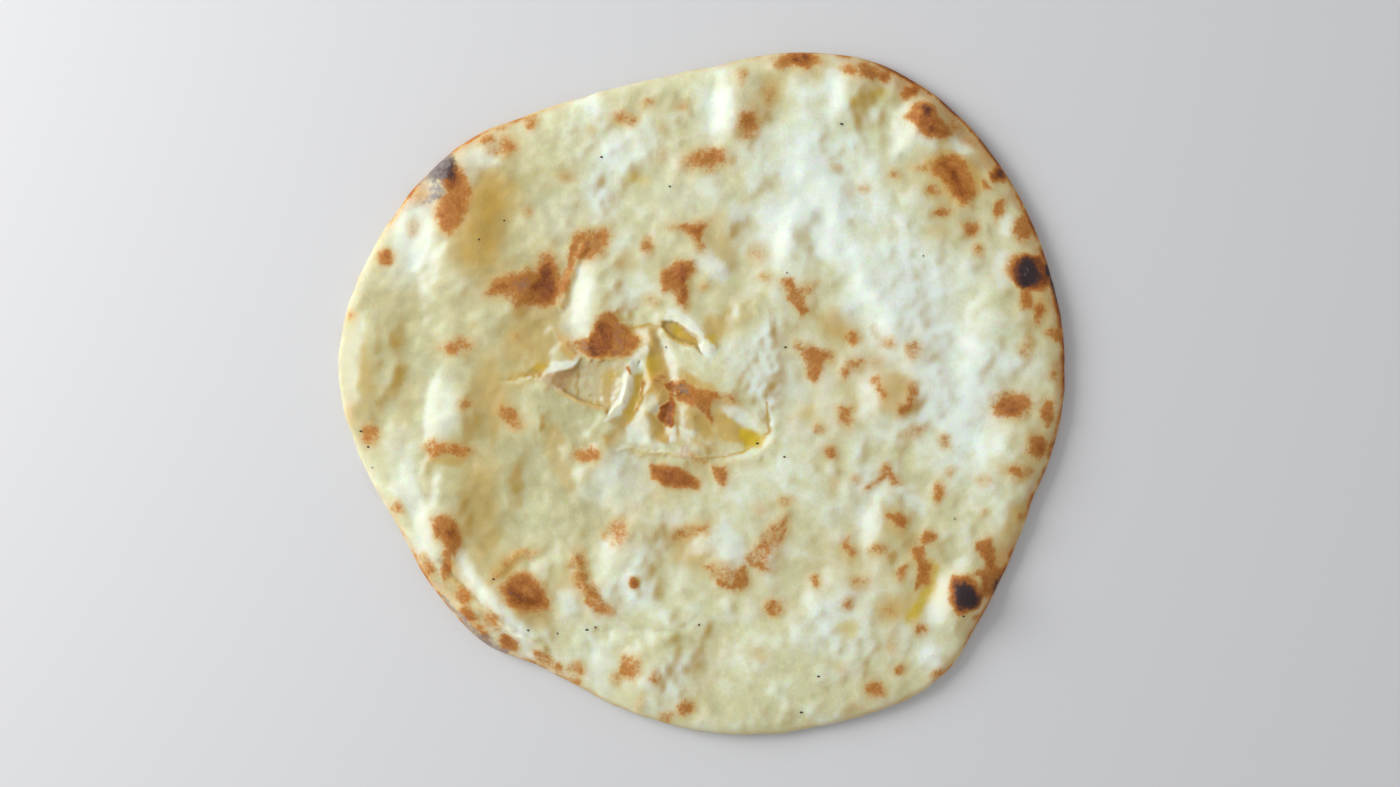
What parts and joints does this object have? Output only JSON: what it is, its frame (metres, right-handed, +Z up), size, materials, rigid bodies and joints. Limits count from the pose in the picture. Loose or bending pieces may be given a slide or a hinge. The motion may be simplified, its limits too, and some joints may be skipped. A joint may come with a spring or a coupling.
{
  "type": "naan bread",
  "caption": "Large round oven-baked flatbread with an uneven outline, blistered skin, a torn collapsed bubble near the middle and a flat underside.",
  "frame": {"origin": "middle of the bread's footprint, on the surface it lies on", "axes": "+X along the longest way across, +Y towards the side with the straighter upper edge, +Z up out of the baked top"},
  "size_m": [0.3, 0.282, 0.0158],
  "materials": {
    "crust": "soft baked wheat dough, pale cream with golden shading, scattered browned blisters and a few charred spots; matte with a faint buttery sheen"
  },
  "bodies": {
    "root": {"naan": "crust"}
  },
  "joints": []
}
